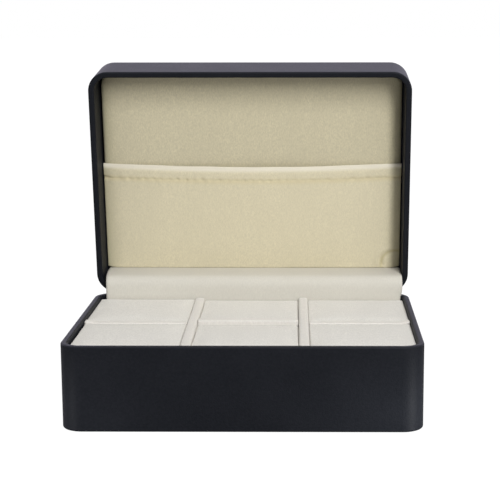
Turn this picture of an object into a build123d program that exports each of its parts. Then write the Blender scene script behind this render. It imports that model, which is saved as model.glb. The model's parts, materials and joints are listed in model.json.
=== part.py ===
from build123d import *
import os
from math import cos, radians, sin

# Cufflink box: a lined clamshell case with six cushions, shown with its lid open.
# Millimetres. The origin is the centre of the underside, +Z is up and -Y is the front.

# Overall sizes of the case
box_width = 165.0
box_depth = 118.0
base_height = 40.2
lid_height = 30.0
corner_radius = 10.0
edge_round = 0.9
rim_round = 0.8
open_angle = 82.5
rim_gap = 0.4

# Smallest corner of any outline drawn in from the plan of the case
least_corner = 0.4

# Moulded shells and the leatherette that wraps them
shell_wall = 2.0
shell_floor = 2.2
leather = 0.5
base_turn_in = 12.0
lid_turn_in = 20.0
turn_under = 11.0
underside_sheet = 0.5
underside_inset = 3.5

# Tray floor and wall lining
tray_floor_thickness = 1.5
tray_floor_clearance = 0.2
lining_thickness = 0.6
lining_drop = 5.0

# Velvet wrapped dividers
divider_thickness = 5.0
divider_velvet = 0.8
long_divider_drop = 0.9
cross_divider_drop = 1.7
divider_joint_gap = 0.1

# Cushions: a foam block inside a sewn velvet cover
cushion_drop = 1.2
cushion_gap = 0.25
cushion_velvet = 0.8
cushion_bow = 0.35
cushion_crown = 0.8
cushion_crown_inset = 12.0
cushion_shoulder = 1.4
cushion_seat_inset = 1.3
cushion_seat_round = 1.4
cushion_least_corner = 2.4

# Lid lining: spacer foam, board, padded velvet face and pocket
lid_recess = 18.5
liner_edge_gap = 0.7
liner_setback = 8.0
liner_pad = 1.8
liner_crown_inset = 9.0
liner_board_thickness = 1.8
liner_board_inset = 1.6
spacer_inset = 6.0
pocket_height = 57.5
pocket_cloth = 1.0
pocket_slack = 4.2
pocket_seam_slack = 0.5
pocket_side_gap = 0.5
pocket_stand_off = 0.15
hem_height = 6.5
hem_extra = 0.7

# Spring hinges
hinge_inset = 40.5
hinge_span = 32.0
knuckle_gap = 0.4
knuckle_radius = 1.7
pin_radius = 0.75
pin_fixed_clearance = 0.01
pin_running_clearance = 0.05
pin_overhang = 0.2
leaf_thickness = 0.8
leaf_height = 11.0
leaf_gap = 0.1
leaf_bend = 0.5
spring_thickness = 0.5
spring_height = 10.0
spring_side_gap = 1.0
spring_nose_gap = 0.2
spring_drop = 0.25
notch_clearance = 0.3
rivet_radius = 0.9
rivet_head_radius = 1.7
rivet_head_height = 0.6
rivet_head_taper = 35.0
rivet_spread = 10.0
rivet_drop = 7.0
rivet_clearance = 0.02

# Velvet strip that covers the hinges and joins the two linings
strip_thickness = 1.0
strip_back_gap = 0.3
strip_front_gap = 0.3
strip_side_gap = 2.1
strip_floor_gap = 0.3
strip_bend = 3.2
strip_shoulder = 8.8
strip_end_gap = 0.4
strip_tuck = 0.3

# Worked out sizes of the walls and the hinge line
wall = shell_wall + 2 * leather
shell_bottom = underside_sheet + leather
tray_base = shell_bottom + shell_floor
tray_top = tray_base + tray_floor_thickness
hinge_height = base_height + rim_gap / 2
hinge_offset = box_width / 2 - hinge_inset
lid_rim = rim_gap / 2
lid_top = lid_rim + lid_height
lid_ceiling = lid_top - leather - shell_floor
knuckle_length = (hinge_span - 2 * knuckle_gap) / 3
notch_radius = knuckle_radius + notch_clearance
notch_depth = leaf_thickness + leaf_gap + notch_clearance
leaf_face = wall + leaf_thickness
strip_back_face = leaf_face + spring_thickness + rivet_head_height + strip_back_gap
strip_front_face = strip_back_face + strip_thickness

# Worked out places inside the tray
lining_face = wall + lining_thickness
tray_half_width = box_width / 2 - lining_face
tray_front = -box_depth / 2 + lining_face
tray_back = box_depth / 2 - strip_front_face - strip_front_gap
bay_width = (2 * tray_half_width - 2 * divider_thickness) / 3
bay_depth = (tray_back - tray_front - divider_thickness) / 2
divider_x = bay_width / 2 + divider_thickness / 2
cross_y = tray_front + bay_depth + divider_thickness / 2
bay_x = bay_width + divider_thickness
bay_front_y = tray_front + bay_depth / 2
bay_back_y = tray_back - bay_depth / 2
lining_stop = max(corner_radius, strip_front_face) + strip_front_gap
cushion_corner = max(corner_radius - lining_face - cushion_gap, cushion_least_corner)

# Both frames have their origin on the hinge line: +Y points back and +Z points out of the base.
# The lid frame is the same frame turned with the lid, so the lid is drawn as if it were shut.
base_frame = Plane(origin=(0, box_depth / 2, hinge_height), x_dir=(1, 0, 0), z_dir=(0, 0, 1))
lid_out = (0, sin(radians(open_angle)), cos(radians(open_angle)))
lid_frame = Plane(origin=base_frame.origin, x_dir=(1, 0, 0), z_dir=lid_out)

os.makedirs("parts", exist_ok=True)


def save(piece, name):
    piece.label = name
    export_step(piece, f"parts/{name}.step")


def level(frame, height):
    """Plane across the box at a height, centred in its depth."""
    centre = frame.from_local_coords((0, -box_depth / 2, height))
    return Plane(origin=centre, x_dir=frame.x_dir, z_dir=frame.z_dir)


def side_view(frame, x):
    """Plane seen from the side: sketch x runs to the back and sketch y runs up."""
    corner = frame.from_local_coords((x, 0, 0))
    return Plane(origin=corner, x_dir=frame.y_dir, z_dir=frame.x_dir)


def rounded(inset):
    """Plan outline of the box, drawn in by an inset."""
    RectangleRounded(box_width - 2 * inset, box_depth - 2 * inset,
                     max(corner_radius - inset, least_corner))


def farthest(found, frame, side):
    """Edges that lie farthest along the frame's upward direction, or against it."""
    upward = Axis(frame.origin, frame.z_dir)
    return found.group_by(upward)[side]


def hinge_notch(frame, side):
    """Cuts the rim clear of both hinges; side is 1 above the rim plane and -1 below it."""
    for hinge_x in (-hinge_offset, hinge_offset):
        start = hinge_x - hinge_span / 2 - pin_overhang - notch_clearance
        length = hinge_span + 2 * pin_overhang + 2 * notch_clearance
        with BuildSketch(side_view(frame, start)) as notch:
            with Locations((-wall / 2, side * notch_depth / 2)):
                Rectangle(wall + 2 * notch_clearance, notch_depth)
            Circle(notch_radius)
        extrude(notch.sketch, amount=length, mode=Mode.SUBTRACT)


def rivet_places(names):
    """Places of the rivets along the hinge line, on both hinges."""
    spread = {"outer": (-rivet_spread, rivet_spread), "centre": (0.0,)}[names]
    return [hinge_x + x for hinge_x in (-hinge_offset, hinge_offset) for x in spread]


def rivet_plane(frame, x, side):
    """Plane on the shell's outer face, facing into the box, at one rivet."""
    spot = frame.from_local_coords((x, -leather, side * rivet_drop))
    return Plane(origin=spot, x_dir=frame.x_dir, z_dir=-frame.y_dir)


def rivet_holes(frame, side, names):
    """Drills the rivet holes from the shell's outer face inwards."""
    for x in rivet_places(names):
        with BuildSketch(rivet_plane(frame, x, side)) as drill:
            Circle(rivet_radius + rivet_clearance)
        extrude(drill.sketch, amount=leaf_face + spring_thickness, mode=Mode.SUBTRACT)


def rivets(frame, side, names, grip):
    """Rivets with a domed head, each gripping the wall and what lies on it."""
    for x in rivet_places(names):
        shell_face = rivet_plane(frame, x, side)
        with BuildSketch(shell_face) as shank:
            Circle(rivet_radius)
        extrude(shank.sketch, amount=grip)
        with BuildSketch(shell_face.offset(grip)) as head:
            Circle(rivet_head_radius)
        extrude(head.sketch, amount=rivet_head_height, taper=rivet_head_taper)


# Base shell: a moulded tub with a rounded rim
with BuildPart() as base_shell:
    with BuildSketch(Plane.XY.offset(shell_bottom)):
        rounded(leather)
    extrude(amount=base_height - leather - shell_bottom)
    fillet(farthest(edges(), base_frame, 0), edge_round - leather)
    fillet(farthest(edges(), base_frame, -1), rim_round - leather)
    with BuildSketch(Plane.XY.offset(tray_base)):
        rounded(leather + shell_wall)
    extrude(amount=base_height, mode=Mode.SUBTRACT)
    fillet(farthest(edges(Select.LAST), base_frame, -1), rim_round - leather)
    hinge_notch(base_frame, -1)
    rivet_holes(base_frame, -1, "outer")
    rivet_holes(base_frame, -1, "centre")
save(base_shell.part, "base_shell")

# Base leatherette: turned under the floor, up the walls, over the rim and down inside
with BuildPart() as base_leatherette:
    with BuildSketch(Plane.XY.offset(underside_sheet)):
        rounded(0)
    extrude(amount=base_height - underside_sheet)
    fillet(farthest(edges(), base_frame, 0), edge_round)
    fillet(farthest(edges(), base_frame, -1), rim_round)
    with BuildSketch(Plane.XY.offset(base_height)):
        rounded(wall)
    extrude(amount=-base_turn_in, mode=Mode.SUBTRACT)
    fillet(farthest(edges(Select.LAST), base_frame, -1), rim_round)
    add(base_shell.part, mode=Mode.SUBTRACT)
    with BuildSketch(Plane.XY.offset(tray_base)):
        rounded(leather + shell_wall)
    extrude(amount=base_height - base_turn_in - tray_base, mode=Mode.SUBTRACT)
    with BuildSketch(Plane.XY.offset(underside_sheet)):
        rounded(turn_under)
    extrude(amount=leather, mode=Mode.SUBTRACT)
    hinge_notch(base_frame, -1)
    rivet_holes(base_frame, -1, "outer")
    rivet_holes(base_frame, -1, "centre")
save(base_leatherette.part, "base_leatherette")

# Underside sheet: hides the turned under edges, and the box stands on it
with BuildPart() as underside:
    with BuildSketch(Plane.XY):
        rounded(underside_inset)
    extrude(amount=underside_sheet)
save(underside.part, "base_underside_sheet")

# Tray floor: velvet faced card
with BuildPart() as tray_floor:
    with BuildSketch(Plane.XY.offset(tray_base)):
        rounded(leather + shell_wall + tray_floor_clearance)
    extrude(amount=tray_floor_thickness)
save(tray_floor.part, "tray_floor")

# Wall lining: one velvet faced card strip round the front and both sides
with BuildPart() as wall_lining:
    with BuildSketch(Plane.XY.offset(tray_top)):
        rounded(wall)
        RectangleRounded(2 * tray_half_width, box_depth - 2 * lining_face,
                         max(corner_radius - lining_face, least_corner), mode=Mode.SUBTRACT)
        with Locations((0, box_depth / 2)):
            Rectangle(box_width, 2 * lining_stop, mode=Mode.SUBTRACT)
    extrude(amount=base_height - lining_drop - tray_top)
save(wall_lining.part, "wall_lining")


def divider(plane, length, top, skin):
    """Upright sides under a half round top, a skin's thickness inside the velvet."""
    half = divider_thickness / 2 - skin
    spring_line = top - divider_thickness / 2
    with BuildSketch(plane) as section:
        with BuildLine():
            Polyline((half, spring_line), (half, 0), (-half, 0), (-half, spring_line))
            ThreePointArc((-half, spring_line), (0, spring_line + half), (half, spring_line))
        make_face()
    extrude(section.sketch, amount=length)


# Long dividers: front to back, a board core in a velvet wrap
long_top = base_height - long_divider_drop - tray_top
long_length = tray_back - tray_front
for side_name, side in (("left", -1), ("right", 1)):
    front_end = Plane(origin=(side * divider_x, tray_front, tray_top),
                      x_dir=(-1, 0, 0), z_dir=(0, 1, 0))
    with BuildPart() as long_core:
        divider(front_end.offset(divider_velvet), long_length - 2 * divider_velvet,
                long_top, divider_velvet)
    save(long_core.part, f"{side_name}_divider_board")
    with BuildPart() as long_wrap:
        divider(front_end, long_length, long_top, 0)
        add(long_core.part, mode=Mode.SUBTRACT)
    save(long_wrap.part, f"{side_name}_divider_velvet")

# Cross divider: three short pieces between the walls and the long dividers
cross_top = base_height - cross_divider_drop - tray_top
ear_x = box_width / 2 - wall - divider_joint_gap
inner_x = divider_x + divider_thickness / 2 + divider_joint_gap
centre_x = divider_x - divider_thickness / 2 - divider_joint_gap
cross_spans = {"left": (-ear_x, -inner_x), "centre": (-centre_x, centre_x), "right": (inner_x, ear_x)}
for span_name, (start_x, end_x) in cross_spans.items():
    cross_end = Plane(origin=(start_x, cross_y, tray_top), x_dir=(0, 1, 0), z_dir=(1, 0, 0))
    clear_of_lining = lining_thickness + divider_velvet
    with BuildPart() as cross_core:
        divider(cross_end.offset(clear_of_lining), end_x - start_x - 2 * clear_of_lining,
                cross_top, divider_velvet)
    save(cross_core.part, f"cross_divider_{span_name}_board")
    with BuildPart() as cross_wrap:
        divider(cross_end, end_x - start_x, cross_top, 0)
        add(wall_lining.part, mode=Mode.SUBTRACT)
        add(cross_core.part, mode=Mode.SUBTRACT)
    save(cross_wrap.part, f"cross_divider_{span_name}_velvet")


def cushion_outline(plane, width, depth, inset, bow):
    """Plan of a cushion: rounded corners and sides drawn in between them."""
    half_w = width / 2 - inset
    half_d = depth / 2 - inset
    corner_w = half_w - cushion_corner
    corner_d = half_d - cushion_corner
    diagonal = cushion_corner * cos(radians(45))
    with BuildSketch(plane) as outline:
        with BuildLine():
            for turn in range(4):
                long_x, long_y = (half_w, half_d) if turn % 2 == 0 else (half_d, half_w)
                near_x, near_y = (corner_w, corner_d) if turn % 2 == 0 else (corner_d, corner_w)
                spin = radians(90 * turn)
                points = [(long_x, -near_y), (long_x - bow, 0), (long_x, near_y),
                          (near_x + diagonal, near_y + diagonal), (near_x, long_y)]
                a, b, c, d, e = [(x * cos(spin) - y * sin(spin), x * sin(spin) + y * cos(spin))
                                 for x, y in points]
                ThreePointArc(a, b, c)
                ThreePointArc(c, d, e)
        make_face()
    return outline.sketch


# Heights, insets and bows of the sections of a cushion, from its seat to its crown
cushion_height = base_height - cushion_drop - tray_top
cushion_edge = cushion_height - cushion_crown
cushion_sections = (
    (0.0, cushion_seat_inset, 0.2 * cushion_bow),
    (cushion_seat_round, 0.2 * cushion_seat_inset, 0.7 * cushion_bow),
    (cushion_height / 2, 0.0, cushion_bow),
    (cushion_edge - cushion_shoulder, 0.0, 0.7 * cushion_bow),
    (cushion_edge - 0.3 * cushion_shoulder, 0.3 * cushion_shoulder, 0.4 * cushion_bow),
    (cushion_edge, cushion_shoulder, 0.2 * cushion_bow),
    (cushion_height - 0.3 * cushion_crown, 0.6 * cushion_crown_inset, 0.1 * cushion_bow),
    (cushion_height, cushion_crown_inset, 0.1 * cushion_bow),
)


def cushion(centre, skin):
    """Crowned block lofted through its sections, a skin's thickness inside the cover."""
    width = bay_width - 2 * cushion_gap - 2 * skin
    depth = bay_depth - 2 * cushion_gap - 2 * skin
    squeeze = (cushion_height - 2 * skin) / cushion_height
    loft([cushion_outline(Plane(centre).offset(skin + height * squeeze), width, depth, inset, bow)
          for height, inset, bow in cushion_sections], ruled=True)


for row_name, row_y in (("front", bay_front_y), ("back", bay_back_y)):
    for column_name, column_x in (("left", -bay_x), ("centre", 0.0), ("right", bay_x)):
        seat = (column_x, row_y, tray_top)
        with BuildPart() as cushion_foam:
            cushion(seat, cushion_velvet)
        save(cushion_foam.part, f"{row_name}_{column_name}_cushion_foam")
        with BuildPart() as cushion_cover:
            cushion(seat, 0)
            add(cushion_foam.part, mode=Mode.SUBTRACT)
        save(cushion_cover.part, f"{row_name}_{column_name}_cushion_velvet")

# Lid shell: a shallow moulded tray, drawn shut in the lid frame
with BuildPart() as lid_shell:
    with BuildSketch(level(lid_frame, lid_rim + leather)):
        rounded(leather)
    extrude(amount=lid_height - 2 * leather)
    fillet(farthest(edges(), lid_frame, -1), edge_round - leather)
    fillet(farthest(edges(), lid_frame, 0), rim_round - leather)
    with BuildSketch(level(lid_frame, lid_rim)):
        rounded(leather + shell_wall)
    extrude(amount=lid_ceiling - lid_rim, mode=Mode.SUBTRACT)
    fillet(farthest(edges(Select.LAST), lid_frame, 0), rim_round - leather)
    hinge_notch(lid_frame, 1)
    rivet_holes(lid_frame, 1, "outer")
save(lid_shell.part, "lid_shell")

# Lid leatherette: over the top, down the walls, round the rim and up inside
with BuildPart() as lid_leatherette:
    with BuildSketch(level(lid_frame, lid_rim)):
        rounded(0)
    extrude(amount=lid_height)
    fillet(farthest(edges(), lid_frame, -1), edge_round)
    fillet(farthest(edges(), lid_frame, 0), rim_round)
    with BuildSketch(level(lid_frame, lid_rim)):
        rounded(wall)
    extrude(amount=lid_turn_in, mode=Mode.SUBTRACT)
    fillet(farthest(edges(Select.LAST), lid_frame, 0), rim_round)
    add(lid_shell.part, mode=Mode.SUBTRACT)
    with BuildSketch(level(lid_frame, lid_rim + lid_turn_in)):
        rounded(leather + shell_wall)
    extrude(amount=lid_ceiling - lid_rim - lid_turn_in, mode=Mode.SUBTRACT)
    hinge_notch(lid_frame, 1)
    rivet_holes(lid_frame, 1, "outer")
save(lid_leatherette.part, "lid_leatherette")

# Lid lining, from the ceiling down: spacer foam, board, padded velvet face
liner_face = lid_rim + lid_recess
board_face = liner_face + liner_pad
spacer_face = board_face + liner_board_thickness
liner_front = -box_depth + wall + liner_edge_gap
liner_width = box_width - 2 * wall - 2 * liner_edge_gap
liner_length = -liner_setback - liner_front
liner_middle = (liner_front - liner_setback) / 2 + box_depth / 2
liner_corner = corner_radius - wall - liner_edge_gap


def liner_outline(inset):
    """Plan outline of the lid lining, drawn in by an inset."""
    with Locations((0, liner_middle)):
        RectangleRounded(liner_width - 2 * inset, liner_length - 2 * inset,
                         max(liner_corner - inset, least_corner))


with BuildPart() as lid_spacer:
    with BuildSketch(level(lid_frame, spacer_face)):
        liner_outline(spacer_inset)
    extrude(amount=lid_ceiling - spacer_face)
save(lid_spacer.part, "lid_spacer_foam")

with BuildPart() as liner_board:
    with BuildSketch(level(lid_frame, board_face)):
        liner_outline(liner_board_inset)
    extrude(amount=liner_board_thickness)
save(liner_board.part, "lid_liner_board")

# Shares of the pad's thickness and of its crown's inset, from the crown down
pad_sections = ((0.0, 1.0), (0.07, 0.5), (0.28, 0.11), (0.6, 0.0), (1.0, 0.0))
with BuildPart() as liner_velvet:
    for depth, inset in pad_sections:
        with BuildSketch(level(lid_frame, liner_face + depth * liner_pad)):
            liner_outline(inset * liner_crown_inset)
    loft(ruled=True)
    with BuildSketch(level(lid_frame, board_face)):
        liner_outline(0)
    extrude(amount=liner_board_thickness)
    add(liner_board.part, mode=Mode.SUBTRACT)
save(liner_velvet.part, "lid_liner_velvet")


def pocket_band(height, slack, cloth):
    """Section across the pocket: a bowed band of cloth that bulges towards the mouth of the lid."""
    half = liner_width / 2 - pocket_side_gap
    back = liner_face - pocket_stand_off
    centre = lid_frame.from_local_coords((0, -liner_setback - height, 0))
    across = Plane(origin=centre, x_dir=lid_frame.x_dir, z_dir=-lid_frame.y_dir)
    with BuildSketch(across) as band:
        with BuildLine():
            ThreePointArc((-half, back), (0, back - slack), (half, back))
            Line((half, back), (half, back - cloth))
            ThreePointArc((half, back - cloth), (0, back - cloth - slack), (-half, back - cloth))
            Line((-half, back - cloth), (-half, back))
        make_face()
    return band.sketch


# Pocket: a slack velvet panel with a doubled hem, sewn down at its sides and bottom
hem_start = pocket_height - hem_height
hem_slack = pocket_seam_slack + (pocket_slack - pocket_seam_slack) * hem_start / pocket_height
with BuildPart() as pocket:
    loft([pocket_band(0, pocket_seam_slack, pocket_cloth),
          pocket_band(hem_start, hem_slack, pocket_cloth)], ruled=True)
    loft([pocket_band(hem_start, hem_slack, pocket_cloth + hem_extra),
          pocket_band(pocket_height, pocket_slack, pocket_cloth + hem_extra)], ruled=True)
save(pocket.part, "lid_pocket")

# Velvet strip: down the back of the tray, over the hinges and up to the lid lining
strip_half = tray_half_width + lining_thickness - strip_side_gap
strip_middle = -strip_back_face - strip_thickness / 2
strip_foot = tray_top + strip_floor_gap - hinge_height
tuck = lid_frame.from_local_coords((0, -liner_setback + strip_end_gap + strip_thickness / 2,
                                    liner_face + strip_tuck))
tuck_point = base_frame.to_local_coords(tuck)
with BuildPart() as strip:
    with BuildSketch(side_view(base_frame, -strip_half)):
        with BuildLine() as strip_path:
            FilletPolyline((strip_middle, strip_foot), (strip_middle, strip_shoulder),
                           (tuck_point.Y, tuck_point.Z), radius=strip_bend)
        trace(line_width=strip_thickness)
    extrude(amount=2 * strip_half)
save(strip.part, "hinge_strip")


def leaf_plate(frame, side, x, length):
    """Upright plate of a hinge leaf against the inside of the wall, bent over the rim."""
    top = side * leaf_gap
    foot = side * (leaf_gap + leaf_height)
    with BuildSketch(side_view(frame, x)) as plate:
        with BuildLine():
            Polyline((-wall, top + side * leaf_thickness), (-wall, foot), (-leaf_face, foot),
                     (-leaf_face, top + side * leaf_bend), (-leaf_face + leaf_bend, top),
                     (-wall, top), (-wall, top + side * leaf_thickness))
        make_face()
    extrude(plate.sketch, amount=length)


def leaf_tab(frame, side, x, length):
    """Part of a leaf that crosses the rim and rolls round the pin."""
    with BuildSketch(side_view(frame, x)) as tab:
        with Locations((-wall / 2, side * (leaf_gap + leaf_thickness / 2))):
            Rectangle(wall, leaf_thickness)
        Circle(knuckle_radius)
    extrude(tab.sketch, amount=length)


def pin_hole(x, clearance):
    """Bore of the knuckles along one hinge."""
    with BuildSketch(side_view(base_frame, x)) as bore:
        Circle(pin_radius + clearance)
    extrude(bore.sketch, amount=hinge_span, mode=Mode.SUBTRACT)


# Spring hinges, one near each side: two leaves, a pin and a snap spring
knuckle_step = knuckle_length + knuckle_gap
for side_name, hinge_x in (("left", -hinge_offset), ("right", hinge_offset)):
    start = hinge_x - hinge_span / 2
    with BuildPart() as base_leaf:
        leaf_plate(base_frame, -1, start, hinge_span)
        with BuildSketch(side_view(base_frame, start + knuckle_length)) as window:
            with Locations((-wall, 0)):
                Rectangle(3 * wall, 2 * notch_depth)
        extrude(window.sketch, amount=knuckle_length + 2 * knuckle_gap, mode=Mode.SUBTRACT)
        leaf_tab(base_frame, -1, start, knuckle_length)
        leaf_tab(base_frame, -1, start + 2 * knuckle_step, knuckle_length)
        pin_hole(start, pin_fixed_clearance)
        rivet_holes(base_frame, -1, "outer")
        rivet_holes(base_frame, -1, "centre")
    save(base_leaf.part, f"{side_name}_hinge_base_leaf")

    with BuildPart() as lid_leaf:
        leaf_plate(lid_frame, 1, start, hinge_span)
        leaf_tab(lid_frame, 1, start + knuckle_step, knuckle_length)
        pin_hole(start, pin_running_clearance)
        rivet_holes(lid_frame, 1, "outer")
    save(lid_leaf.part, f"{side_name}_hinge_lid_leaf")

    with BuildPart() as pin:
        with BuildSketch(side_view(base_frame, start - pin_overhang)):
            Circle(pin_radius)
        extrude(amount=hinge_span + 2 * pin_overhang)
    save(pin.part, f"{side_name}_hinge_pin")

    spring_start = start + knuckle_step + spring_side_gap
    spring_width = knuckle_length - 2 * spring_side_gap
    spring_top = -spring_drop
    nose = -knuckle_radius - spring_nose_gap
    with BuildPart() as snap_spring:
        with BuildSketch(side_view(base_frame, spring_start)):
            with BuildLine():
                Polyline((-leaf_face, -spring_height), (-leaf_face, spring_top - spring_thickness),
                         (nose, spring_top - spring_thickness), (nose, spring_top),
                         (-leaf_face - spring_thickness, spring_top),
                         (-leaf_face - spring_thickness, -spring_height),
                         (-leaf_face, -spring_height))
            make_face()
        extrude(amount=spring_width)
        rivet_holes(base_frame, -1, "centre")
    save(snap_spring.part, f"{side_name}_hinge_snap_spring")

# Rivets: the leaves to the walls, and the snap springs through the base leaves
leaf_grip = shell_wall + leather + leaf_thickness
with BuildPart() as base_rivets:
    rivets(base_frame, -1, "outer", leaf_grip)
    rivets(base_frame, -1, "centre", leaf_grip + spring_thickness)
save(base_rivets.part, "base_hinge_rivets")

with BuildPart() as lid_rivets:
    rivets(lid_frame, 1, "outer", leaf_grip)
save(lid_rivets.part, "lid_hinge_rivets")
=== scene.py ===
import json
import math

import bmesh
import bpy
from mathutils import Matrix, Vector, noise


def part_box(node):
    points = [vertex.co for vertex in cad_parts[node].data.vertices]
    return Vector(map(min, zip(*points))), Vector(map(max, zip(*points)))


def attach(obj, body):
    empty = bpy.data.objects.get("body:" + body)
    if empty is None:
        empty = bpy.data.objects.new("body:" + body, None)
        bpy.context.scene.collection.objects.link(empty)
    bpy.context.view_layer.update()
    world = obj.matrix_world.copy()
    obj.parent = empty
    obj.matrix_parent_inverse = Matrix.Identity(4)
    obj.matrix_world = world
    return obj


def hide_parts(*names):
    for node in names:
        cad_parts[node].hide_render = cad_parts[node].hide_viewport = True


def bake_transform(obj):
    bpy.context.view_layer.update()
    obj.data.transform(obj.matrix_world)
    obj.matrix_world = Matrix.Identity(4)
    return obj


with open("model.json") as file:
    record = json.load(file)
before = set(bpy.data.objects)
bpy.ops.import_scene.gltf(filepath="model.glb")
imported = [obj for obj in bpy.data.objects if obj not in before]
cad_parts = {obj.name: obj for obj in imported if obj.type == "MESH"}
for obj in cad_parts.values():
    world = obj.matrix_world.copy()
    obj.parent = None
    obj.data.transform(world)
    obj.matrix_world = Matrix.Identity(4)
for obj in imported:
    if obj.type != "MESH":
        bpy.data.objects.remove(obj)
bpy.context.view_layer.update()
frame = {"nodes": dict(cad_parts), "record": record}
nodes = frame["nodes"]
scene = bpy.context.scene


def cosine(degrees):
    return math.cos(math.radians(degrees))


def sine(degrees):
    return math.sin(math.radians(degrees))


def between(value, low, high):  # the value, held between low and high
    return min(max(value, low), high)


def hump(value, width):  # 1 where the value is 0, falling to nothing on both sides
    return math.exp(-(value / width) ** 2)


camera = {
    "place": (0.031103, -0.644206, 0.187515),
    "down": 10.017,  # degrees
    "left": 0.546,
    "roll": -0.06,
    "lens": 97.17,
    "shift": -0.09656,
}


def makeCamera():
    down, left, roll = camera["down"], camera["left"], camera["roll"]
    turn = Matrix.Rotation(math.radians(left), 3, "Z")
    right = turn @ Vector((1, 0, 0))
    up = turn @ Vector((0, sine(down), cosine(down)))
    ahead = turn @ Vector((0, cosine(down), -sine(down)))
    right, up = right * cosine(roll) + up * sine(roll), up * cosine(roll) - right * sine(roll)
    data = bpy.data.cameras.new("camera")
    data.sensor_width = 36
    data.lens = camera["lens"]
    data.shift_x = camera["shift"]
    data.clip_start, data.clip_end = 0.01, 50
    seer = bpy.data.objects.new("camera", data)
    facing = Matrix((right, up, -ahead)).transposed()
    seer.matrix_world = Matrix.Translation(camera["place"]) @ facing.to_4x4()
    scene.collection.objects.link(seer)
    scene.camera = seer


makeCamera()
print("camera set")


class Wire:  # one socket of a material, usable in sums
    def __init__(self, web, socket):
        self.web, self.socket = web, socket

    def maths(self, how, a, b):
        return self.web.node("Math", {"operation": how}, {0: a, 1: b})

    def __add__(self, other):
        return self.maths("ADD", self, other)

    def __sub__(self, other):
        return self.maths("SUBTRACT", self, other)

    def __rsub__(self, other):
        return self.maths("SUBTRACT", other, self)

    def __mul__(self, other):
        return self.maths("MULTIPLY", self, other)

    __radd__, __rmul__ = __add__, __mul__


class Web:  # the nodes of one material or of the world
    def __init__(self, name, kind="materials"):
        self.holder = getattr(bpy.data, kind).new(name)
        self.holder.use_nodes = True
        self.tree = self.holder.node_tree
        self.tree.nodes.clear()

    def node(self, kind, settings=None, values=None, out=0):
        made = self.tree.nodes.new("ShaderNode" + kind)
        for key, value in (settings or {}).items():
            setattr(made, key, value)
        for key, value in (values or {}).items():
            socket = made.inputs[key]
            if isinstance(value, Wire):
                self.tree.links.new(value.socket, socket)
            elif socket.type == "RGBA":
                socket.default_value = (*value, 1)
            else:
                socket.default_value = value
        return Wire(self, made.outputs[out]) if made.outputs else None

    def place(self):  # where a point is, in millimetres
        spot = self.node("TexCoord", out=3)
        return self.node("VectorMath", {"operation": "SCALE"}, {0: spot, "Scale": 1000})

    def part(self, spot, axis):
        return self.node("SeparateXYZ", None, {0: spot}, out="xyz".index(axis))

    def stretch(self, spot, scale):
        return self.node("VectorMath", {"operation": "MULTIPLY"}, {0: spot, 1: scale})

    def cloud(self, spot, scale, detail=2.0, rough=0.5):
        values = {"Vector": spot, "Scale": scale, "Detail": detail, "Roughness": rough}
        return self.node("TexNoise", None, values)

    def blend(self, factor, a, b):
        return self.node("Mix", {"data_type": "RGBA"}, {0: factor, 6: a, 7: b}, out=2)

    def between(self, value, low, high):  # rises from 0 to 1 as a value goes from low to high
        return self.node("MapRange", {"clamp": True}, {0: value, 1: low, 2: high, 3: 0.0, 4: 1.0})

    def bump(self, height, strength, depth):
        return self.node("Bump", None, {"Strength": strength, "Distance": depth, "Height": height})

    def surface(self, values):
        shader = self.node("BsdfPrincipled", None, values)
        self.node("OutputMaterial", None, {"Surface": shader})
        return self.holder


leather = {
    "colour": (0.0064, 0.0074, 0.0098),
    "worn": (0.0112, 0.0123, 0.0156),
    "rough": 0.42,
    "specular": 0.08,
    "grain": 1.5,  # pebbles to a millimetre
    "creases": 0.8,  # how fine the creases and the worn patches are
    "patches": 0.045,
    "bump": 0.6,
    "bumpDepth": 0.00012,
}


def leatherette():
    web = Web("leatherette")
    spot = web.place()
    values = {"Vector": spot, "Scale": leather["grain"], "Smoothness": 0.7}
    pebbles = web.node("TexVoronoi", {"feature": "SMOOTH_F1"}, values)
    creases = web.cloud(spot, leather["creases"], 5, 0.62)
    patches = web.cloud(spot, leather["patches"], 3, 0.55)
    worn = web.between(patches, 0.4, 0.75) * 0.4 + web.between(creases, 0.35, 0.65) * 0.5
    return web.surface({
        "Base Color": web.blend(worn, leather["colour"], leather["worn"]),
        "Roughness": leather["rough"] + creases * 0.1 + patches * 0.08,
        "Specular IOR Level": leather["specular"],
        "Normal": web.bump(pebbles * 0.7 + creases * 0.6, leather["bump"], leather["bumpDepth"]),
    })


velvets = {  # the pile's colour, and how strongly it is mottled. The same cream velvet on every piece: the darker, yellower tones of all but the cushions are painted shade and painted warm bounce light
    "cushion": ((0.735, 0.716, 0.672), 1.2),
    "divider": ((0.715, 0.69, 0.645), 0.8),
    "strip": ((0.61, 0.587, 0.522), 0.5),
    "lid": ((0.73, 0.665, 0.48), 0.9),  # the pocket
    # painted shade: the liner, of the pocket's cloth, is darker as the light falls off towards the lid's top
    "liner": ((0.66, 0.60, 0.425), 1.3),
    "lining": ((0.62, 0.58, 0.47), 1.0),
}
pile = {
    "fibres": ((1.0, 0.6, 0.45), 1.9, 0.65),  # how each cloud is stretched, how fine and how rough it is
    "tufts": ((1.0, 0.6, 0.6), 0.5, 0.6),
    "brushed": ((1.0, 0.3, 0.25), 0.07, 0.5),
    "patchy": 0.055,  # how much lighter and darker it is from patch to patch
    "gaps": 0.13,  # how much darker it is between the fibres
    "rough": 0.86,
    "specular": 0.15,
    "sheen": 0.12,
    "sheenRough": 0.5,
    "sheenTint": (1.0, 0.975, 0.92),
    "bump": 0.35,
    "bumpDepth": 0.00022,
}
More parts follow.
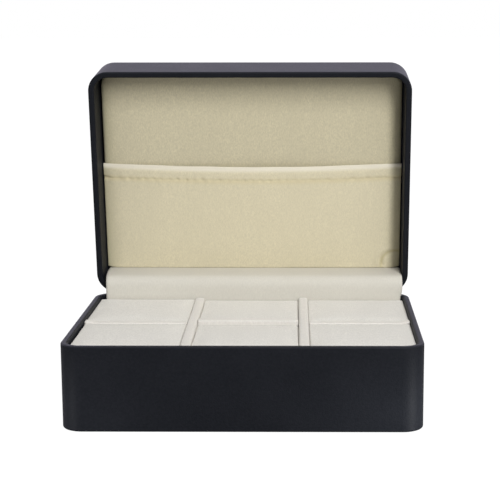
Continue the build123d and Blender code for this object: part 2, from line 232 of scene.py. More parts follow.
lidPaintedLight = {
    "mouth": 106.3, "sag": 1.9, "half": 78.9,  # the height of the pocket's upper edge, and its curve
    "corner": (76.5, 0, 52.8),  # which the crease at the pocket's lower right, and the shade painted in it, bends round
    # each mark of painted shade or painted highlight: one or two edges, each from no mark to all of it, then
    # its strength and its colour
    # painted shade along both sides of the lid's velvet, where its side walls shade it
    "sideShade": (((68, 79.5), (68, 79.5)), 0.75, (0.36, 0.335, 0.205)),
    # painted highlight: paler along the pocket's rolled upper edge, which faces the light
    "mouthHighlight": (((2.8, 1.2),), 0.8, (0.83, 0.78, 0.66)),
    # painted shade: darker and yellower along the groove of the pocket's stitches
    "stitchShade": (((5.2, 7.4), (9.6, 7.8)), 0.5, (0.66, 0.57, 0.34)),
    # painted shade: olive in the crease at the pocket's lower right
    "creaseShade": (((6.2, 7.5), (9.0, 7.7)), 0.5, (0.42, 0.36, 0.17)),
}


def shade(colour, by):
    return tuple(min(1.0, c * by) for c in colour)


# paints shade and highlights into the colour of the lid's velvet
def paintLidLight(web, name, spot, colour):
    def mark(kind, value):
        edges, strength, tone = lidPaintedLight[kind]
        much = web.between(value, *edges[0])
        for edge in edges[1:]:
            much = much * web.between(value, *edge)
        return web.blend(much * strength, colour, tone)

    across = web.node("Math", {"operation": "ABSOLUTE"}, {0: web.part(spot, "x")})
    colour = mark("sideShade", across)  # painted shade: darker and olive along both sides, where the lid's side walls shade the velvet
    if name == "lid":  # painted highlight along the pocket's rolled upper edge, painted shade along its stitch groove and in its crease
        curve = lidPaintedLight["sag"] / lidPaintedLight["half"] ** 2
        below = (lidPaintedLight["mouth"] - web.part(spot, "z")) + across * across * curve
        colour = mark("mouthHighlight", below)
        colour = mark("stitchShade", below)
        values = {0: web.stretch(spot, (1, 0, 1)), 1: lidPaintedLight["corner"]}
        away = web.node("VectorMath", {"operation": "DISTANCE"}, values, out="Value")
        colour = mark("creaseShade", away)
    return colour


def velvet(name):
    tone, much = velvets[name]
    web = Web("velvet_" + name)
    spot = web.place()
    clouds = (pile["fibres"], pile["tufts"], pile["brushed"])
    fibres, tufts, brushed = (web.cloud(web.stretch(spot, by), fine, 3, rough) for by, fine, rough in clouds)
    lay = web.between(brushed, 0.3, 0.72) * 0.5 + web.between(tufts, 0.3, 0.7) * 0.5
    patchy = pile["patchy"] * much
    colour = web.blend(lay, shade(tone, 1 - patchy), shade(tone, 1 + patchy))
    colour = web.blend(web.between(fibres, 0.35, 0.65), colour, shade(tone, 1 - pile["gaps"] * much))
    if name in ("lid", "liner"):
        colour = paintLidLight(web, name, spot, colour)
    return web.surface({
        "Base Color": colour,
        "Roughness": pile["rough"] + fibres * 0.12,
        "Specular IOR Level": pile["specular"],
        "Sheen Weight": pile["sheen"],
        "Sheen Roughness": pile["sheenRough"],
        "Sheen Tint": pile["sheenTint"],
        "Normal": web.bump(fibres * 0.8 + tufts * 0.5, pile["bump"] * much, pile["bumpDepth"]),
    })


def grained(name, colour, darker, rough, metal=0.0, scale=0.3, strength=0.15, depth=0.00005):
    web = Web(name)
    spot = web.place()
    coarse = web.cloud(spot, scale, 4, 0.6)
    fine = web.cloud(spot, scale * 9)
    return web.surface({
        "Base Color": web.blend(web.between(coarse, 0.35, 0.7), darker, colour),
        "Roughness": rough + fine * 0.12 - 0.06,
        "Metallic": metal,
        "Normal": web.bump(fine, strength, depth),
    })


grainedFinishes = {  # colour, darker colour, roughness, metal, scale of the grain, bump and its depth
    "moulded_tray": ((0.03, 0.03, 0.032), (0.022, 0.022, 0.024), 0.55),
    "upholstery_foam": ((0.8, 0.78, 0.7), (0.7, 0.67, 0.58), 0.95, 0.0, 0.8, 0.6, 0.0003),
    "grey_board": ((0.42, 0.4, 0.36), (0.34, 0.32, 0.28), 0.9),
    "black_paper": ((0.03, 0.03, 0.03), (0.02, 0.02, 0.02), 0.8, 0.0, 0.7, 0.3, 0.0001),
    "plated_steel": ((0.62, 0.61, 0.6), (0.5, 0.49, 0.48), 0.3, 1.0, 0.5, 0.08, 0.00003),
}
finishes = {name: grained(name, *values) for name, values in grainedFinishes.items()}
finishes["black_leatherette"] = leatherette()
finishes["cream_velvet"] = velvet("lining")
slotOf = {row["node"]: row["material_slot"] for row in frame["record"]["subparts"]}
for name, node in nodes.items():
    node.data.materials.clear()
    node.data.materials.append(finishes[slotOf[name]])
print("finishes on the CAD nodes")


def room(node):  # the lowest and highest corner of a CAD node, in millimetres
    low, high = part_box(node)
    return Vector(low) * 1000, Vector(high) * 1000


def outline(x0, x1, y0, y1, radii, corner=6, side=8, bow=0.0):  # rounded rectangle, counter-clockwise
    middle, halfX, halfY = ((x0 + x1) / 2, (y0 + y1) / 2), (x1 - x0) / 2, (y1 - y0) / 2
    loop = []
    for k in range(4):
        c, s = ((1, 0), (0, 1), (-1, 0), (0, -1))[k]
        reach, half = ((halfX, halfY), (halfY, halfX))[k % 2]
        before, after = max(radii[k - 1], 0.05), max(radii[k], 0.05)
        points = []
        for i in range(side):
            t = i / side
            points.append((reach - bow * 4 * t * (1 - t), (1 - t) * (before - half) + t * (half - after)))
        for i in range(corner):
            a = 90 * i / corner
            points.append((reach - after + after * cosine(a), half - after + after * sine(a)))
        loop += [(middle[0] + c * x - s * y, middle[1] + s * x + c * y) for x, y in points]
    return loop


def skinOver(rings, ends=True):  # faces between rings of points, and over both ends
    count = len(rings[0])
    points = [p for ring in rings for p in ring]
    faces = []
    for i in range(len(rings) - 1):
        for j in range(count):
            k = (j + 1) % count
            faces.append((i * count + j, i * count + k, (i + 1) * count + k, (i + 1) * count + j))
    if ends:
        last = (len(rings) - 1) * count
        faces.append(tuple(reversed(range(count))))
        faces.append(tuple(range(last, last + count)))
    return points, faces


def closeSides(faces, rings, pairs, tip=None):  # over the first and last ring, from pair to pair of points
    count = len(rings[0])
    for first, flip in ((0, True), ((len(rings) - 1) * count, False)):
        rows = [(first + i, first + j) for i, j in pairs]
        for (a, b), (c, d) in zip(rows, rows[1:]):
            faces.append((a, c, d, b) if flip else (b, d, c, a))
        if tip is not None:
            a, b = rows[-1]
            faces.append((a, first + tip, b) if flip else (b, first + tip, a))


def makePiece(name, points, faces, material):  # a piece of velvet, from points in millimetres
    mesh = bpy.data.meshes.new(name)
    mesh.from_pydata([Vector(p) * 0.001 for p in points], [], faces)
    turned = bmesh.new()
    turned.from_mesh(mesh)
    bmesh.ops.recalc_face_normals(turned, faces=turned.faces)
    turned.to_mesh(mesh)
    turned.free()
    mesh.polygons.foreach_set("use_smooth", [True] * len(mesh.polygons))
    mesh.materials.append(material)
    piece = bpy.data.objects.new(name, mesh)
    scene.collection.objects.link(piece)
    return piece


def finer(piece):
    more = piece.modifiers.new("finer", "SUBSURF")
    more.levels = more.render_levels = 1


def ripple(point, scale, seed=0.0):
    return noise.noise(Vector(point) * scale + Vector((seed, seed * 1.7, -seed)))


case = {"width": 165.0, "depth": 118.0, "corner": 10.0, "wall": 3.0}
rim = room("base_leatherette")[1].z
floorTop = room("tray_floor")[1].z
liningTop = room("wall_lining")[1].z

slant = {"back": -0.2, "front": 1.1, "backY": 52.0, "frontY": -55.0}  # the long dividers stand askew


def askew(y):
    part = (slant["backY"] - y) / (slant["backY"] - slant["frontY"])
    return slant["back"] + (slant["front"] - slant["back"]) * part


pads = {
    "smaller": 0.1, "corner": 1.4, "trayCorner": 6.0,
    "foot": 3.0,  # the height of the rounded foot
    "edgeBelow": 0.8, "shoulder": 0.7, "crown": 0.5, "domed": 18.0,  # how far in the crown rises
    "bow": 0.2, "leastBow": 0.08, "sway": 0.1, "dimple": 0.12,
    "overhang": 0.6, "overFrom": 0.8,  # over the lining's upper edge
    "reach": 0.2,  # from the solid's side to the neighbour that the cushion leans on
    "squeeze": 0.2,  # how much wider than its seat the cushion would be if it were free
    "lined": 0.54,  # the room that the lining takes from a cushion below its edge
    "girth": (35.9, 37.4), "girthHalf": 8.0,  # where a swollen cover is measured
    # how far the top's front and back edges stand above the solid's, and how far the outer side is drawn in
    "front_left": (0.2, 0.0, 0.6), "front_centre": (0.2, -0.65, 0.0), "front_right": (0.25, 0.0, 0.0),
    "back_left": (0.0, 0.2, 0.0), "back_centre": (-0.45, -0.4, 0.0), "back_right": (0.0, -0.3, 0.0),
}


def cushionCover(seat, material):
    low, high = room(seat + "_cushion_velvet")
    frontLift, backLift, drawnIn = pads[seat]
    inset, edge, foot = pads["smaller"], pads["shoulder"], pads["foot"]
    height = high.z - low.z - pads["edgeBelow"]
    outer = -1 if "left" in seat else (1 if "right" in seat else 0)
    radii = [pads["corner"]] * 4  # back right, back left, front left, front right
    if seat in ("front_left", "front_right"):
        radii[2 if outer < 0 else 3] = pads["trayCorner"]
    levels = [(1.6, 0.0), (0.8, 0.4), (0.2, 1.4), (0.0, foot)]  # how far in, and how high
    levels += [(0.0, foot + (height - edge - foot) * i / 16) for i in range(1, 17)]
    levels += [(edge * (1 - cosine(a)), height - edge * (1 - sine(a))) for a in (18, 36, 54, 72, 90)]
    for part in (0.1, 0.25, 0.5, 0.8):
        levels.append((edge + part * pads["domed"], height + pads["crown"] * math.sin(part * math.pi / 2)))
    seed = sum(map(ord, seat)) * 0.1
    rings = []
    for step, z in levels:
        share = z / height
        over = pads["overhang"] - drawnIn if low.z + z > liningTop + pads["overFrom"] else 0.0
        x0 = low.x + inset + step - (over if outer < 0 else 0)
        x1 = high.x - inset - step + (over if outer > 0 else 0)
        y0, y1 = low.y + inset + step, high.y - inset - step
        bow = pads["bow"] * math.sin(math.pi * min(1, share)) + pads["leastBow"]
        ring = []
        for x, y in outline(x0, x1, y0, y1, [max(r - step * 0.5, 0.5) for r in radii], 5, 12, bow):
            part = (y - low.y) / (high.y - low.y)
            lift = (frontLift * (1 - part) + backLift * part) * share ** 4
            sway = pads["sway"] * share * (1 - share) * ripple((x, y, z), 0.05, seed)
            dimple = pads["dimple"] * share ** 4 * ripple((x, y, 0), 0.07, seed)
            ring.append(Vector((x + sway, y, low.z + z + lift + dimple)))
        rings.append(ring)
    points, faces = skinOver(rings)
    row, column = seat.split("_")
    return makePiece(row + column.capitalize() + "Cushion", points, faces, material)


swell = {
    "grown": 10,  # times life size, which the cloth solver needs
    "unit": 0.01,  # a millimetre at that size
    "voxel": 1.1, "held": 3.0,  # millimetres: the mesh's fineness, and how much of the foot stays put
    "most": 0.35,  # no point moves further than this
    "frames": 20, "quality": 6, "mass": 0.3, "stretch": 12, "shear": 6, "bend": 0.6, "pressure": 4.0,
}


def puffUp(pieces):  # swells closed covers with the cloth solver
    unit = swell["unit"]
    grown = []
    for piece in pieces:
        mesh = piece.data
        middle = sum((v.co for v in mesh.vertices), Vector()) / len(mesh.vertices)
        mesh.transform(Matrix.Scale(swell["grown"], 4) @ Matrix.Translation(-middle))
        skin = piece.modifiers.new("voxels", "REMESH")
        skin.mode, skin.voxel_size, skin.use_smooth_shade = "VOXEL", swell["voxel"] * unit, True
        even = bpy.data.meshes.new_from_object(piece.evaluated_get(bpy.context.evaluated_depsgraph_get()))
        piece.modifiers.clear()
        piece.data = even
        low = min(v.co.z for v in even.vertices)
        held = piece.vertex_groups.new(name="held")
        for v in even.vertices:
            held.add([v.index], 1.0 if v.co.z - low < swell["held"] * unit else 0.0, "REPLACE")
        start = [v.co.copy() for v in even.vertices]
        cloth = piece.modifiers.new("cloth", "CLOTH")
        cloth.settings.quality = swell["quality"]
        cloth.settings.mass = swell["mass"]
        cloth.settings.tension_stiffness = cloth.settings.compression_stiffness = swell["stretch"]
        cloth.settings.shear_stiffness = swell["shear"]
        cloth.settings.bending_stiffness = swell["bend"]
        cloth.settings.use_pressure = True
        cloth.settings.uniform_pressure_force = swell["pressure"]
        cloth.settings.effector_weights.gravity = 0
        cloth.settings.vertex_group_mass = "held"
        cloth.collision_settings.use_collision = False
        cloth.point_cache.frame_start, cloth.point_cache.frame_end = 1, swell["frames"]
        grown.append((piece, middle, start))
    for step in range(1, swell["frames"] + 1):
        scene.frame_set(step)
    seen = bpy.context.evaluated_depsgraph_get()
    results = [bpy.data.meshes.new_from_object(piece.evaluated_get(seen)) for piece, _, _ in grown]
    scene.frame_set(1)
    for (piece, middle, start), result in zip(grown, results):
        moves = [v.co - was for v, was in zip(result.vertices, start)]
        most, lengths = swell["most"] * unit, sorted(m.length for m in moves)
        for v, was, move in zip(result.vertices, start, moves):
            v.co = was + move * (most / (most + move.length))
        piece.modifiers.clear()
        piece.vertex_groups.clear()
        result.transform(Matrix.Translation(middle) @ Matrix.Scale(1 / swell["grown"], 4))
        piece.data = result
        swollen = [round(lengths[int((len(lengths) - 1) * q)] / unit, 2) for q in (0.1, 0.5, 0.9, 1.0)]
        print(piece.name, "puffed, mm:", swollen)


def settle(seat, cover):  # presses a swollen cover flat against the walls and dividers round it
    low, high = room(seat + "_cushion_velvet")
    reach, squeeze, drawnIn = pads["reach"], pads["squeeze"], pads[seat][2]
    centre = (low + high) / 2
    lowest, highest = pads["girth"]
    band = [v.co * 1000 for v in cover.data.vertices if lowest < v.co.z * 1000 < highest]
    acrossX = [p.x for p in band if abs(p.y - centre.y) < pads["girthHalf"]]
    acrossY = [p.y for p in band if abs(p.x - centre.x) < pads["girthHalf"]]
    firstX, firstY = min(acrossX), min(acrossY)
    spanX, spanY = max(acrossX) - firstX, max(acrossY) - firstY
    front, back = low.y - reach, high.y + reach
    full = case["width"] / 2 - case["wall"] - 0.1
    for v in cover.data.vertices:
        p = v.co * 1000
        over = between((p.z - liningTop - 0.1) / 0.5, 0.0, 1.0)
        middle = 1 - ((p.y - centre.y) / (high.y - low.y) * 2) ** 2
        wall = full - pads["lined"] * (1 - over) - drawnIn * over * (1 + 0.3 * middle)
        left = -wall if "left" in seat else low.x - reach
        right = wall if "right" in seat else high.x + reach
        wideLeft = (-full if "left" in seat else left) - squeeze
        wideRight = (full if "right" in seat else right) + squeeze
        x = wideLeft + (p.x - firstX) / spanX * (wideRight - wideLeft)
        y = front - squeeze + (p.y - firstY) / spanY * (back - front + 2 * squeeze)
        x, y = between(x, left, right), between(y, front, back)
        onLeft = 0.0 if "left" in seat else askew(y)
        onRight = 0.0 if "right" in seat else askew(y)
        part = between((x - low.x) / (high.x - low.x), 0.0, 1.0)
        v.co = Vector((x + onLeft + (onRight - onLeft) * part, y, p.z)) * 0.001


cushionVelvet = velvet("cushion")
seats = [f"{row}_{column}" for row in ("front", "back") for column in ("left", "centre", "right")]
covers = {seat: cushionCover(seat, cushionVelvet) for seat in seats}
puffUp(list(covers.values()))
for seat, cover in covers.items():
    settle(seat, cover)
    finer(cover)
    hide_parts(seat + "_cushion_velvet")
    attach(cover, seat + "_cushion")
print("cushions made")

walls = {
    "slimmer": 0.02, "lower": 0.2,  # than the solid
    "end": 1.0, "round": 1.3, "crossRound": 0.6, "step": 1.6,
    "wobble": 0.03, "dimple": 0.12,
    "centreRise": 1.3,  # how much higher the middle length of the cross divider stands
    "earRise": 0.8, "earLength": 5.0,  # where its outer lengths meet the lining
}


def loaf(name, node, material):  # a rounded wall wrapped in velvet, along the node's longer side
    low, high = room(node)
    alongX = high.x - low.x > high.y - low.y
    length, width = (high.x - low.x, high.y - low.y) if alongX else (high.y - low.y, high.x - low.x)
    middle = (low + high) / 2
    half, end, top = width / 2 - walls["slimmer"], walls["end"], high.z
    top += walls["centreRise"] - walls["lower"] if "centre" in node else -walls["lower"]
    r = walls["crossRound" if alongX else "round"]
    ends = {"left": (0.0, 1.0), "right": (1.0, 0.0)}  # 0 for an end at the tray's wall, which isn't askew
    first, last = ends.get(node.split("_")[2], (1.0, 1.0))
    ears = {"cross_divider_left_velvet": 0.0, "cross_divider_right_velvet": length}
    steps = [(end * (1 - cosine(a)), end * (1 - sine(a))) for a in (0, 25, 50, 75)]
    count = int(length / walls["step"])
    stations = steps + [(end + (length - 2 * end) * i / count, 0.0) for i in range(count + 1)]
    stations += [(length - s, i) for s, i in reversed(steps)]
    rings = []
    for s, inset in stations:
        wide, tall = half - inset * 0.6, top - inset * 0.7
        if node in ears:
            tall += walls["earRise"] * max(0.0, 1 - abs(s - ears[node]) / walls["earLength"]) ** 0.7
        section = [(-wide, z) for z in (low.z, low.z + 12, low.z + 22, tall - r - 2, tall - r)]
        section += [(-wide + r - r * cosine(a), tall - r + r * sine(a)) for a in (18, 36, 54, 72)]
        section += [(-(wide - r), tall), (-(wide - r) / 2, tall + 0.06), (0, tall + 0.08)]
        section += [(-w, z) for w, z in reversed(section[:-1])]
        ring = []
        for w, z in section:
            share = (z - low.z) / (top - low.z)
            w += walls["wobble"] * share * ripple((s, w, z), 0.12, 4.0)
            z += walls["dimple"] * share ** 4 * ripple((s, w, 0), 0.08, 9.0)
            x, y = (s - length / 2, w) if alongX else (-w, s - length / 2)
            follow = first + (last - first) * s / length
            ring.append(Vector((middle.x + x + follow * askew(middle.y + y), middle.y + y, z)))
        rings.append(ring)
    points, faces = skinOver(rings)
    piece = makePiece(name, points, faces, material)
    finer(piece)
    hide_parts(node)
    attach(piece, "base")


dividerVelvet = velvet("divider")
for side in ("left", "right"):
    loaf(side + "Divider", side + "_divider_velvet", dividerVelvet)
for side in ("left", "centre", "right"):
    loaf(side + "CrossDivider", f"cross_divider_{side}_velvet", dividerVelvet)
print("dividers made")

lining = {"outer": 3.02, "thick": 0.57, "backEnd": 48.7, "offFloor": 0.02}


def liningPath(inset):  # seen from above, from the back left round to the back right
    x, y, r = case["width"] / 2 - inset, case["depth"] / 2 - inset, case["corner"] - inset
    line = [(-x, lining["backEnd"] - 6.0 * i) for i in range(17)]
    line = [p for p in line if p[1] > r - y] + [(-x, r - y)]
    line += [(r - x - r * cosine(a), r - y - r * sine(a)) for a in range(10, 91, 10)]
    line += [((x - r) * (i / 12 - 1), -y) for i in range(1, 12)]
    return line + [(0.0, -y)] + [(-px, py) for px, py in reversed(line)]


def wallLining():  # a velvet faced strip round the front and both sides of the tray
    outer, inner = liningPath(lining["outer"]), liningPath(lining["outer"] + lining["thick"])
    low, top, r = floorTop + lining["offFloor"], liningTop, lining["thick"] / 2
    section = [(0.0, low), (0.0, 15.0), (0.0, 25.0)]
    section += [(0.5 - 0.5 * cosine(a), top - r + r * sine(a)) for a in range(0, 181, 30)]
    section += [(1.0, 25.0), (1.0, 15.0), (1.0, low)]
    rings = []
    for (ox, oy), (ix, iy) in zip(outer, inner):
        rings.append([Vector((ox + (ix - ox) * t, oy + (iy - oy) * t, z)) for t, z in section])
    points, faces = skinOver(rings)
    piece = makePiece("wallLining", points, faces, finishes["cream_velvet"])
    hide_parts("wall_lining")
    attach(piece, "base")


wallLining()
print("wall lining made")

hinge = {"y": 59.0, "z": rim + 0.2, "open": 82.5}
swing = (cosine(hinge["open"]), sine(hinge["open"]))


def inLid(x, t, z):  # t runs from the hinge line to the lid's free edge, z goes into the lid
    c, s = swing
    return Vector((x, hinge["y"] - t * c + z * s, hinge["z"] + t * s + z * c))


lidPad = {
    "halfX": 78.8, "near": 8.0, "far": 114.3, "corner": 6.3, "face": 18.7, "back": 22.28,
    "wave": 0.16,
}


def liner():
    k = lidPad
    levels = [(0.0, k["back"]), (0.0, 21.6), (0.0, 21.0), (0.08, 20.5), (0.3, 20.0), (0.75, 19.55),
              (1.4, 19.2), (2.3, 18.95), (3.6, 18.78), (6.0, 18.70), (9.0, 18.70)]
    levels += [(9.0 + 4.2 * i, k["face"]) for i in range(1, 11)]
    rings = []
    for inset, z in levels:
        radii = [max(k["corner"] - inset, 0.4 if inset < 6 else 0.2)] * 4
        near, far = k["near"] + inset, k["far"] - inset
        ring = []
        for x, t in outline(inset - k["halfX"], k["halfX"] - inset, near, far, radii, 6, 22):
            calm = min(1.0, inset / 8)
            lift = k["wave"] * calm * (ripple((x, t, 0), 0.045, 2.0) + 0.4 * ripple((x, t, 0), 0.13, 6.0))
            ring.append(inLid(x, t, z + lift))
        rings.append(ring)
    points, faces = skinOver(rings)
    piece = makePiece("lidLiner", points, faces, velvet("liner"))
    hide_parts("lid_liner_velvet")
    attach(piece, "lid")


liner()
print("lid liner made")

pocketFacts = {
    "half": 78.9, "seam": 8.0, "height": 58.6, "off": 0.12,
    "slack": 4.1, "seamSlack": 0.5, "sag": 1.5, "sagWander": 0.25, "wave": 0.22,
    "cloth": 0.95, "hemCloth": 0.3, "rollThinner": 0.25, "thinnest": 0.3,
    "stitchAt": 51.0, "stitchWander": 0.35, "pucker": 0.28,
    "stitch": 4.4,  # from one stitch's dimple to the next
    "dimple": 0.34, "notch": 1.1,  # depths at the stitches and at the two ends of their line
    "mouthBack": 1.6,  # how far the hem's upper edge leans back towards the liner
    "mouthRound": 1.7,
    "flare": 0.2,  # how much wider the mouth is to each side
    "seamRound": 0.6, "cornerLift": 0.9,  # of the lower edge
    "crease": [(69.6, 1.8), (68.4, 4.4), (69.2, 6.8), (72.6, 8.8), (78.2, 9.9)],  # at the lower right
    "creaseRidge": 0.35, "creaseDepth": 0.65,
    "bumps": ((51.5, 1.8), (61.0, 1.2), (-38.0, 2.2)),  # along the lower edge, each with its width
    "bump": 0.3,
    "columns": 236,
    "bend": 11,  # points round the mouth
}


def apart(spot, a, b):  # how far a point lies from the line from a to b
    spot, a, b = Vector(spot), Vector(a), Vector(b)
    along = between((spot - a).dot(b - a) / (b - a).length_squared, 0.0, 1.0)
    return (spot - a.lerp(b, along)).length


def pocketFront(x, up):  # how far the cloth's back stands off the liner, and how thick it is there
    k = pocketFacts
    a, share = x / k["half"], up / k["height"]
    above = up - k["stitchAt"] - k["stitchWander"] * ripple((x, 0, 0), 0.09, 8.0)  # the line of stitches
    hem, roll = between((above + 0.4) / 1.2, 0.0, 1.0), between((above - 3.6) / 2.6, 0.0, 1.0)
    stand = (k["seamSlack"] + (k["slack"] - k["seamSlack"]) * share) * max(0.0, 1 - a * a)
    wave = k["wave"] * ripple((x, up, 0), 0.055, 3.0) * math.sin(math.pi * min(1, share + 0.1))
    stand += wave * min(1, (1 - abs(a)) * 12)
    stand -= k["mouthBack"] * (roll * roll + 0.12 * hem) * min(1.0, stand / 2.5)
    thick = k["cloth"] + k["hemCloth"] * hem * hem * (3 - 2 * hem) - k["rollThinner"] * roll
    turn = (x + 0.9 * ripple((x, 0, 0), 0.21, 15.0)) / k["stitch"]
    dimple = hump((turn - round(turn)) * k["stitch"], 0.9)
    depth = k["dimple"] + k["dimple"] * ripple((round(turn) * 3.1, 0, 0), 0.9, 1.0)
    thick -= depth * dimple * hump(above, 0.8)
    thick += k["pucker"] * ripple((x, up * 0.3, 0), 0.32, 5.0) * hump(above, 3.0)
    thick -= k["notch"] * (max(0.0, (abs(a) - 0.95) / 0.05) * hump(above + 0.1, 0.75))
    if x > 60 and up < 16:
        away = min(apart((x, up), p, q) for p, q in zip(k["crease"], k["crease"][1:]))
        thick += k["creaseRidge"] * hump(away - 2.0, 1.2) - k["creaseDepth"] * hump(away, 0.9)
    thick += k["bump"] * sum(hump(x - at, wide) for at, wide in k["bumps"]) * hump(up, 1.3)
    return max(0.0, stand) + k["off"], max(k["thinnest"], thick)


def pocket():
    k = pocketFacts
    half, face = k["half"], lidPad["face"]
    places = [-1 + 2 * i / k["columns"] for i in range(k["columns"] + 1)]
    places = [math.copysign(abs(a) ** 0.95, a) for a in places]
    heights = [0.0, 0.2, 0.5, 0.9, 1.4, 2.2]  # closer together at the seam, at the stitches and at the mouth
    heights += [2.2 + 1.55 * i for i in range(1, 12)] + [19.2 + 3.4 * i for i in range(1, 9)]
    heights += [48.0, 49.0, 49.7, 50.1, 50.4, 50.7, 51.0, 51.3, 51.6, 52.0, 52.6, 53.3]
    heights += [54.1, 54.9, 55.7, 56.2, 56.6]
    tall, bend = len(heights), k["bend"]
    rings = []
    for a in places:
        drop = k["sag"] * (1 - a * a) + k["sagWander"] * ripple((a * half, 0, 0), 0.06, 12.0)
        grow = 1 - drop / k["height"]
        front, back, turn = [], [], []
        for up in heights:
            x = a * (half + k["flare"] * max(0, (up - 48) / 9.5))
            stand, thick = pocketFront(a * half, up)
            if up < k["seamRound"]:
                thick *= 0.55 + 0.45 * math.sin(math.pi / 2 * up / k["seamRound"])
            lift = k["cornerLift"] * max(0.0, (abs(a) - 0.93) / 0.07) ** 2 * max(0.0, 1 - up / 4)
            front.append(inLid(x, k["seam"] + up * grow + lift, face - stand - thick))
            back.append(inLid(x, k["seam"] + up * grow + lift, face - stand))
        x = a * (half + k["flare"])
        for b in range(15, 180, 15):  # round the mouth, where the last stand and thickness hold
            reach = k["mouthRound"] * sine(b)
            depth = stand + thick / 2 + thick / 2 * cosine(b)
            turn.append(inLid(x, k["seam"] + (heights[-1] + reach) * grow, face - depth))
        rings.append(front + turn + back[::-1])
    points, faces = skinOver(rings, ends=False)
    count = len(rings[0])
    pairs = [(i, count - 1 - i) for i in range(tall)]
    pairs += [(tall + i, tall + bend - 1 - i) for i in range(bend // 2)]
    closeSides(faces, rings, pairs, tall + bend // 2)
    piece = makePiece("lidPocket", points, faces, velvet("lid"))
    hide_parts("lid_pocket")
    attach(piece, "lid")


pocket()
print("pocket made")

stripFacts = {
    "middle": -5.7, "foot": floorTop + 0.3 - hinge["z"], "shoulder": 9.0, "bend": 6.0,
    "endT": 7.55, "endZ": 18.9,
    "half": 77.4,  # and how much more or less than that it reaches to either side on its way to the lid
    "leftLess": 0.4, "leftMore": 1.2,
    "rightMore": 1.2, "rightTop": 0.7, "rightLess": 0.3,
    "thick": 0.85, "edgeRound": 0.5, "bead": 0.3, "wave": 0.1,
    "crumple": 0.25, "crumpleAt": (17, -3), "crumpleSize": (9, 3.5),  # a patch of small creases
    "columns": 90,
}


def stripPath():  # from the tray floor up over the hinges to the liner, as (u, v) past the hinge line
    k = stripFacts
    end = inLid(0, k["endT"], k["endZ"])
    corner, foot = Vector((k["middle"], k["shoulder"])), Vector((k["middle"], k["foot"]))
    tip = Vector((end.y - hinge["y"], end.z - hinge["z"]))
    down, on = (foot - corner).normalized(), (tip - corner).normalized()
    cut = k["bend"] / math.tan(math.acos(down.dot(on)) / 2)
    first, second = corner + down * cut, corner + on * cut
    line = [foot.lerp(first, i / 20) for i in range(20)]
    for i in range(11):
        t = i / 10
        line.append(first * (1 - t) ** 2 + corner * 2 * t * (1 - t) + second * t * t)
    line += [second.lerp(tip, i / 10) for i in range(1, 11)]
    return line


def hingeStrip():
    k = stripFacts
    line = stripPath()
    length = sum((b - a).length for a, b in zip(line, line[1:]))
    columns, (atX, atY), (sizeX, sizeY) = k["columns"], k["crumpleAt"], k["crumpleSize"]
    rings = []
    gone = 0.0
    for i, p in enumerate(line):
        ahead = line[min(i + 1, len(line) - 1)] - line[max(i - 1, 0)]
        ahead.normalize()
        out = Vector((-ahead.y, ahead.x))
        gone += (line[i] - line[i - 1]).length if i else 0
        above = between((p.y + 9) / 4, 0.0, 1.0)
        backward = between((p.x - k["middle"]) / 14, 0.0, 1.0)
        left = k["half"] - k["leftLess"] + k["leftMore"] * backward
        right = k["half"] + k["rightMore"] * above - k["rightLess"] * backward
        right += k["rightTop"] * between(p.y / 2, 0.0, 1.0)
        front, back = [], []
        for j in range(columns + 1):
            a = 2 * j / columns - 1
            a = math.copysign(1 - (1 - abs(a)) ** 1.15, a)
            reach = right if a > 0 else left
            x = a * reach
            edge = reach - abs(x)
            rounded = math.sqrt(max(0.0, 1 - max(0.0, 1 - edge / k["edgeRound"]) ** 2))
            thick = k["thick"] * (0.35 + 0.65 * rounded)
            thick += k["bead"] * hump(edge - 0.55, 0.5) * min(1, gone / 8)
            wave = k["wave"] * ripple((x, gone, 0), 0.05, 7.0) * min(1, gone / 6)
            small = k["crumple"] * ripple((x * 2.2, (gone + 0.6 * x) * 1.3, 0), 0.1, 21.0)
            wave += small * hump(x - atX, sizeX) * hump(p.y - atY, sizeY)
            for row, way in ((front, 0.5), (back, -0.5)):
                spot = p + out * (wave + way * thick)
                row.append(Vector((x, hinge["y"] + spot.x, hinge["z"] + spot.y)))
        rings.append(front + back[::-1])
    points, faces = skinOver(rings, ends=False)
    last = len(rings[0]) - 1
    closeSides(faces, rings, [(last - j, j) for j in range(columns + 1)])
    piece = makePiece("hingeStrip", points, faces, velvet("strip"))
    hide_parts("hinge_strip")
    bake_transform(piece)
    print("hinge strip", round(length, 1), "mm long")


hingeStrip()
print("hinge strip made")

light = {
    "ambient": (0.19, 0.19, 0.19), "mirrored": (1.5, 1.43, 1.7),  # the room as it lights and as it reflects
    "key": (0.41, -1.05, 0.72), "keyPower": 13.2, "keySize": (0.24, 0.75), "keyAim": (0, 0.02, 0.08),
    "top": (0.1, -0.25, 1.3), "topPower": 6.4, "topSize": (0.7, 0.5), "topAim": (0, 0, 0.04),
    "corner": (0.8, -0.6, 0.03), "cornerPower": 70.0, "cornerCone": 3.6, "cornerAim": (0.083, -0.059, 0.008),
    "left": (-0.8, -0.6, 0.03), "leftPower": 28.0, "leftCone": 3.6, "leftAim": (-0.085, -0.059, 0.008),
    "spotSize": 0.02,
}
ground = {
    "grey": (0.5, 0.5, 0.5), "rough": 0.9, "specular": 0.1,  # what it throws back at the box
    "white": 1.16, "share": 0.87,  # what the camera sees: a glow, and how much of it is that
    "half": 9,  # metres
}


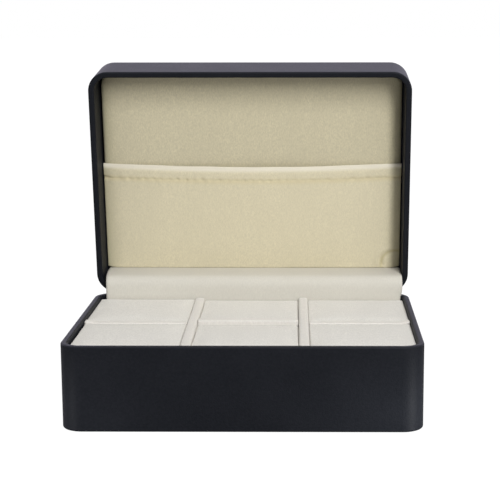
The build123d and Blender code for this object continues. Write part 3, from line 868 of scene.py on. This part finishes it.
def makeLamp(name, kind):
    place, aim = light[name], light[name + "Aim"]
    data = bpy.data.lights.new(name, kind)
    data.energy = light[name + "Power"]
    if kind == "AREA":
        data.shape = "RECTANGLE"
        data.size, data.size_y = light[name + "Size"]
    else:
        data.spot_size, data.spot_blend = math.radians(light[name + "Cone"]), 1.0
        data.shadow_soft_size = light["spotSize"]
    lamp = bpy.data.objects.new(name, data)
    lamp.location = place
    lamp.rotation_mode = "QUATERNION"
    lamp.rotation_quaternion = (Vector(aim) - Vector(place)).to_track_quat("-Z", "Y")
    scene.collection.objects.link(lamp)


def makeWorld():  # white to the camera only
    world = Web("studio", "worlds")
    scene.world = world.holder
    seen = world.node("LightPath", out="Is Camera Ray") + world.node("LightPath", out="Is Transmission Ray")
    glow = world.blend(world.node("LightPath", out="Is Glossy Ray"), light["ambient"], light["mirrored"])
    sky = world.node("Background", None, {"Color": world.blend(seen, glow, (1, 1, 1)), "Strength": 1.0})
    world.node("OutputWorld", None, {"Surface": sky})


def makeFloor():  # nearly white to the camera, so that only a faint shadow shows
    web = Web("floor")
    matte = web.node("BsdfPrincipled", None, {
        "Base Color": ground["grey"], "Roughness": ground["rough"], "Specular IOR Level": ground["specular"],
    })
    white = web.node("Emission", None, {"Color": (1, 1, 1), "Strength": ground["white"]})
    seen = web.node("LightPath", out="Is Camera Ray") * ground["share"]
    mixed = web.node("MixShader", None, {0: seen, 1: matte, 2: white})
    web.node("OutputMaterial", None, {"Surface": mixed})
    mesh = bpy.data.meshes.new("floor")
    far = ground["half"]
    mesh.from_pydata([(-far, -far, 0), (far, -far, 0), (far, far, 0), (-far, far, 0)], [], [(0, 1, 2, 3)])
    mesh.materials.append(web.holder)
    floor = bpy.data.objects.new("floor", mesh)
    scene.collection.objects.link(floor)


for name, kind in (("key", "AREA"), ("top", "AREA"), ("corner", "SPOT"), ("left", "SPOT")):
    makeLamp(name, kind)
makeWorld()
makeFloor()
print("stage set")

scene.view_settings.view_transform = "Standard"
